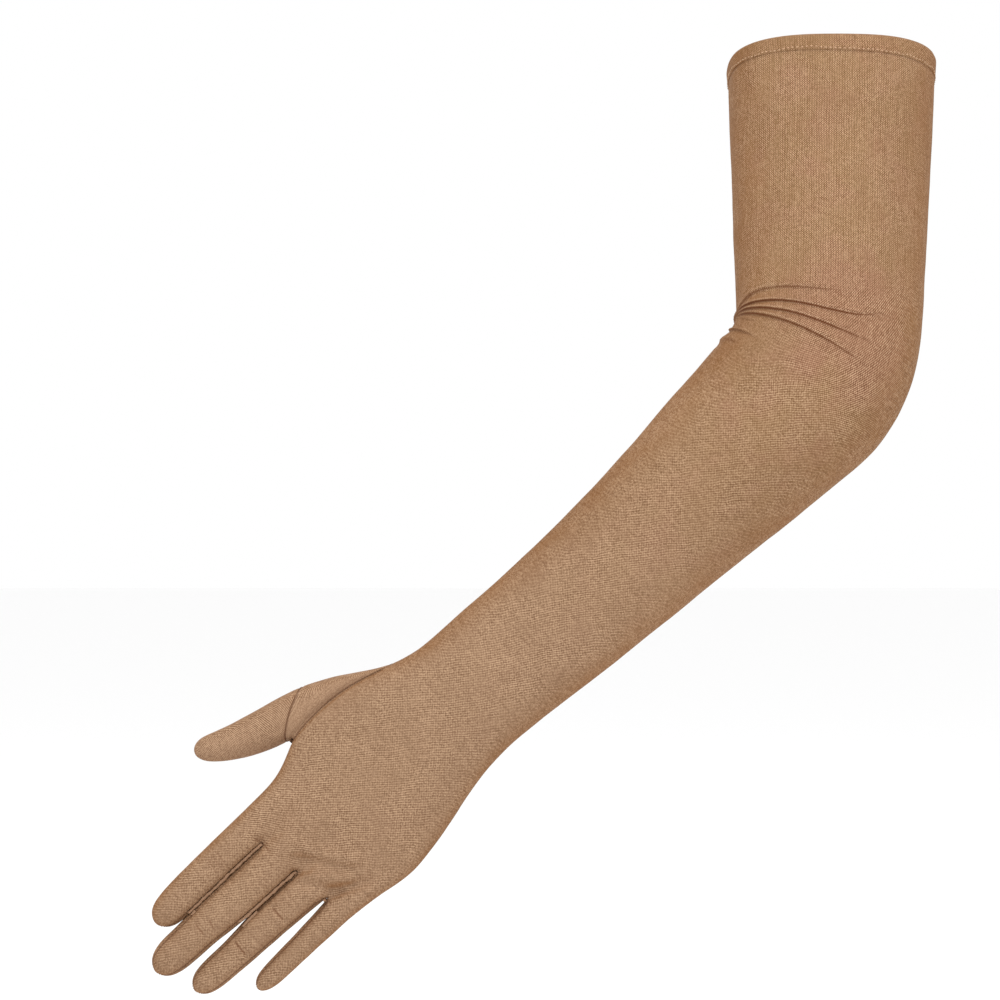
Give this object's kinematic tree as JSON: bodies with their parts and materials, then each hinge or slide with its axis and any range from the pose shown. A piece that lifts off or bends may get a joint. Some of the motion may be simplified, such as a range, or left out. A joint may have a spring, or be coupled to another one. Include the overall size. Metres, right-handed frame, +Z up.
{
  "type": "opera-length tulle glove",
  "caption": "Long close-fitting stretch tulle dress glove for the left hand, with separate fingers, a set-in thumb and a stitched hem above the elbow, in its worn form on a bent arm.",
  "frame": {"origin": "centre of the arm opening, where the glove sits round the upper arm", "axes": "+Z up, with the upper arm running down from the opening; the back of the hand faces -Y, which is the viewer's side; the forearm runs towards -X and down"},
  "size_m": [0.35, 0.1185, 0.4239],
  "materials": {
    "tulle": "tan stretch tulle, fine close mesh, matt with a soft sheen",
    "doubled_tulle": "tan stretch tulle, doubled or gathered at a seam, a shade deeper"
  },
  "bodies": {
    "root": {"hem_band": "doubled_tulle", "back_panel": "tulle", "palm_panel": "tulle", "thumb_gusset": "tulle", "thumb": "tulle", "fourchette_index_middle": "doubled_tulle", "fourchette_middle_ring": "doubled_tulle", "fourchette_ring_little": "doubled_tulle"}
  },
  "joints": []
}
